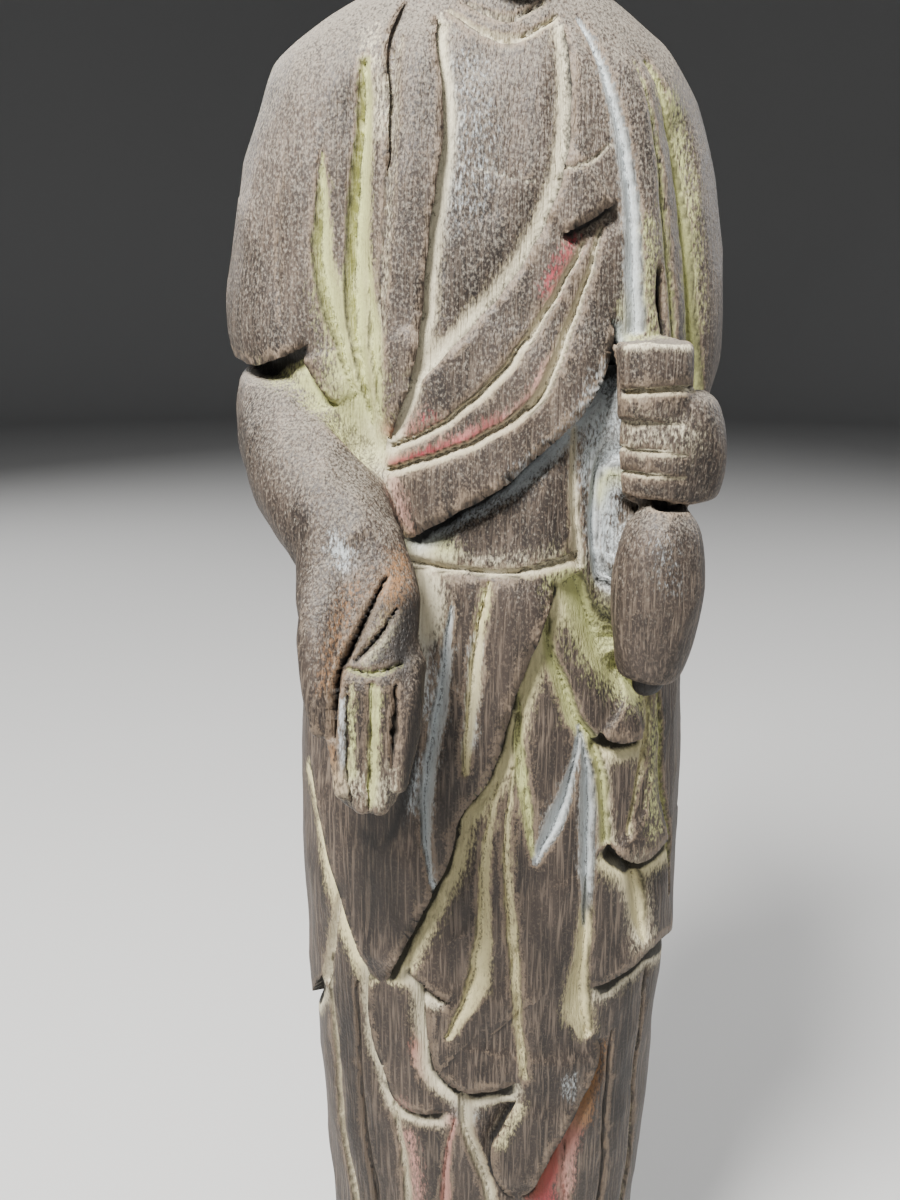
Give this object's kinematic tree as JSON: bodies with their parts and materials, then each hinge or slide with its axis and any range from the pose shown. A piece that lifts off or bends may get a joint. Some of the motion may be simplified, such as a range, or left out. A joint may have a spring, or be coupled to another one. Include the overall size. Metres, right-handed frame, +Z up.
{
  "type": "standing wooden buddha statue",
  "caption": "Slender standing robed figure of carved dark wood with old paint in its folds, one palm lowered open, the other fist gripping a flask, on a low lotus base.",
  "frame": {"origin": "centre of the flat underside of the lotus base", "axes": "+Z up through the crown, -Y the way the figure faces, +X to the figure's left, where the flask is"},
  "size_m": [0.0646, 0.0628, 0.2466],
  "materials": {
    "carved_wood": "dry dark hardwood with open pores, pale dust bloom and yellow-green, cream, blue-grey and red pigment left in the cuts"
  },
  "bodies": {
    "root": {"statue": "carved_wood"}
  },
  "joints": []
}
